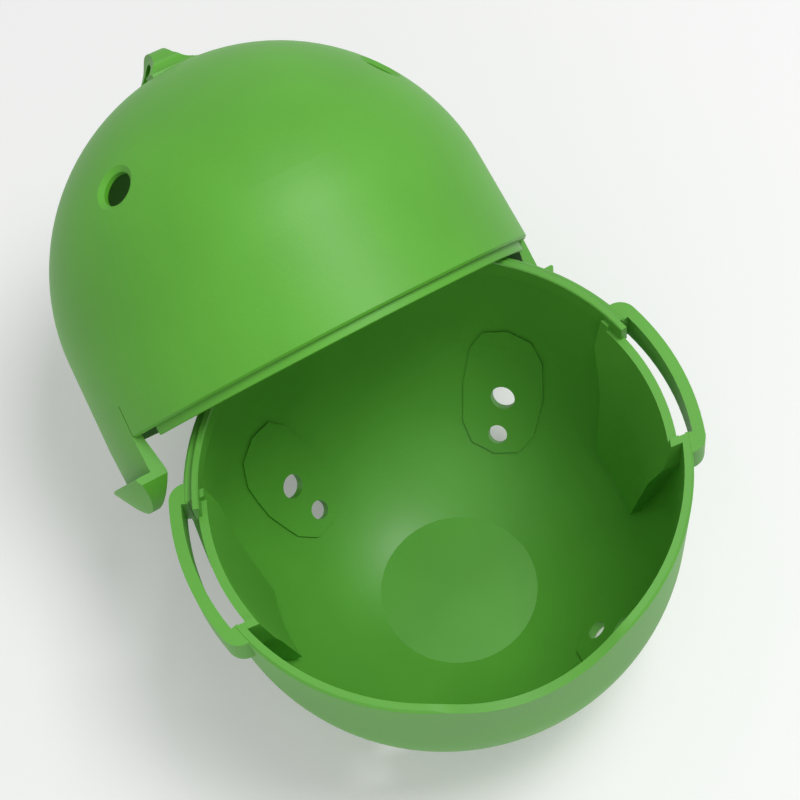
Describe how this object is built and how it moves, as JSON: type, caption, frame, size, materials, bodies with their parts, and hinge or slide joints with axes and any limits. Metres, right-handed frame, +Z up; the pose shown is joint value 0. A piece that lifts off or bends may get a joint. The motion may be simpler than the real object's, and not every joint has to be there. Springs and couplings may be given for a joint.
{
  "type": "two-part round carrying case",
  "caption": "Round snap-shut case for fruit: a deep vented bowl with latch sockets and a domed, vented lid with springy latch arms and a carrying loop, laid open.",
  "frame": {"origin": "centre of the bowl's flat foot, on the table", "axes": "+Z up along the bowl's axis; -Y to the finger scoop at the front; -X and +X to the latch sockets; the laid lid is towards +Y"},
  "size_m": [0.1368, 0.1935, 0.1215],
  "materials": {
    "bowl_plastic": "satin moulded plastic, fine texture",
    "lid_plastic": "satin moulded plastic, fine texture"
  },
  "bodies": {
    "bowl": {"bowl": "bowl_plastic"},
    "lid": {"lid": "lid_plastic"},
    "latch_arm_left": {"latch_arm_left": "lid_plastic"},
    "latch_arm_right": {"latch_arm_right": "lid_plastic"}
  },
  "joints": [
    {"name": "lid_lift", "type": "slide", "parent": "bowl", "child": "lid", "axis": [-0.0842, 0.8748, 0.4772], "range_m": [0, 0.1]},
    {"name": "latch_left_flex", "type": "hinge", "parent": "lid", "child": "latch_arm_left", "pos_m": [-0.06503, 0.05268, 0.06647], "axis": [0.2517, -0.4447, 0.8596], "range_deg": [0, 12], "stiffness_Nm_per_rad": 0.8},
    {"name": "latch_right_flex", "type": "hinge", "parent": "lid", "child": "latch_arm_right", "pos_m": [0.04276, 0.0742, 0.04605], "axis": [-0.2517, 0.4447, -0.8596], "range_deg": [0, 12], "stiffness_Nm_per_rad": 0.8}
  ]
}
